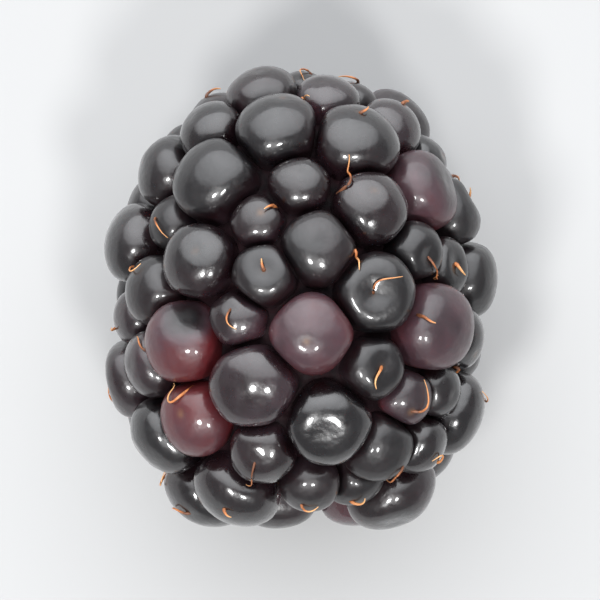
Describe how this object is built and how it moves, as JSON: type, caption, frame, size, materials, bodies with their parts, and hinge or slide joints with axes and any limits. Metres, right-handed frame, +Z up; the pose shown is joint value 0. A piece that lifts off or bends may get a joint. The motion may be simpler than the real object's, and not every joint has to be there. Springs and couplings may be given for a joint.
{
  "type": "bramble berry",
  "caption": "Ripe bramble berry lying on its side: a blunt, slightly tapered barrel of pressed, bead-like drupelets with a dished scar at the stem end.",
  "frame": {"origin": "centre of the bounding box, on the surface that the berry lies on", "axes": "+X along the berry from its stem end to its tip, +Z up, +Y across it"},
  "size_m": [0.0252, 0.0212, 0.0212],
  "materials": {
    "skin": "glossy"
  },
  "bodies": {
    "root": {"berry": "skin"}
  },
  "joints": []
}
